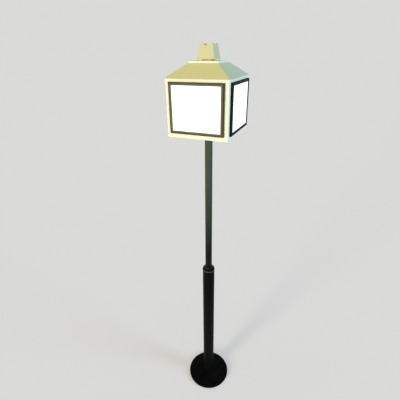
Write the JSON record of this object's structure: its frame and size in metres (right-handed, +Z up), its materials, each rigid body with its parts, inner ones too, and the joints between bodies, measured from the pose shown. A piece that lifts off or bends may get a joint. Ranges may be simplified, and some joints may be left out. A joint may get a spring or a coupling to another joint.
{
  "type": "lantern floor lamp",
  "caption": "Free-standing floor lamp: a square lantern with opal windows, hipped roof and chimney on a stepped round pole over a low round base.",
  "frame": {"origin": "centre of the round base, on the floor", "axes": "+Z up along the pole; -Y towards the lantern's front window; +X to the viewer's right of it"},
  "size_m": [0.208, 0.208, 1.47],
  "materials": {
    "felt": "pressed felt",
    "iron": "as cast",
    "black_paint": "satin powder coat",
    "cream_paint": "satin powder coat",
    "frame_plastic": "fine satin",
    "black_plastic": "semi-gloss",
    "opal": "opal acrylic, lit from behind",
    "steel": "zinc plated",
    "brass": "plain",
    "rubber": "moulded",
    "holder_plastic": "moulded",
    "porcelain": "glazed",
    "bulb_metal": "nickel plated",
    "bulb_opal": "opal, lit",
    "lead_jacket": "smooth jacket"
  },
  "bodies": {
    "stand": {"base_pad": "felt", "base_weight": "iron", "base_cover": "black_paint", "base_washer": "steel", "base_nut": "steel", "base_nipple": "steel", "lower_tube": "black_paint", "foot_plug": "steel", "inlet_grommet": "rubber", "pole_collar": "black_paint", "collar_bush": "black_plastic", "collar_screw": "steel", "upper_tube": "black_paint", "neck_plug": "steel", "neck_flange": "black_paint", "neck_nipple": "steel", "neck_washer": "steel", "neck_nut": "steel", "floor_tray": "cream_paint", "lantern_body": "cream_paint", "window_frame_front": "frame_plastic", "window_frame_right": "frame_plastic", "window_frame_back": "frame_plastic", "window_frame_left": "frame_plastic", "pane_front": "opal", "pane_right": "opal", "pane_back": "opal", "pane_left": "opal", "pane_clips": "steel", "holder_cap": "holder_plastic", "holder_insert": "porcelain", "holder_contact": "brass", "holder_shell": "holder_plastic", "inner_lead": "lead_jacket"},
    "roof": {"roof_panel_front": "cream_paint", "roof_panel_right": "cream_paint", "roof_panel_back": "cream_paint", "roof_panel_left": "cream_paint", "roof_skirt": "cream_paint", "ridge_plate": "cream_paint", "chimney_neck": "cream_paint", "chimney": "cream_paint", "chimney_bolt": "steel", "chimney_nut": "steel"},
    "bulb": {"bulb_cap": "bulb_metal", "bulb_glass": "bulb_opal"}
  },
  "joints": [
    {"name": "roof_lift", "type": "slide", "parent": "stand", "child": "roof", "axis": [0, 0, 1], "range_m": [0, 0.15]},
    {"name": "bulb_unscrew", "type": "slide", "parent": "stand", "child": "bulb", "axis": [0, 0, 1], "range_m": [0, 0.03]}
  ]
}
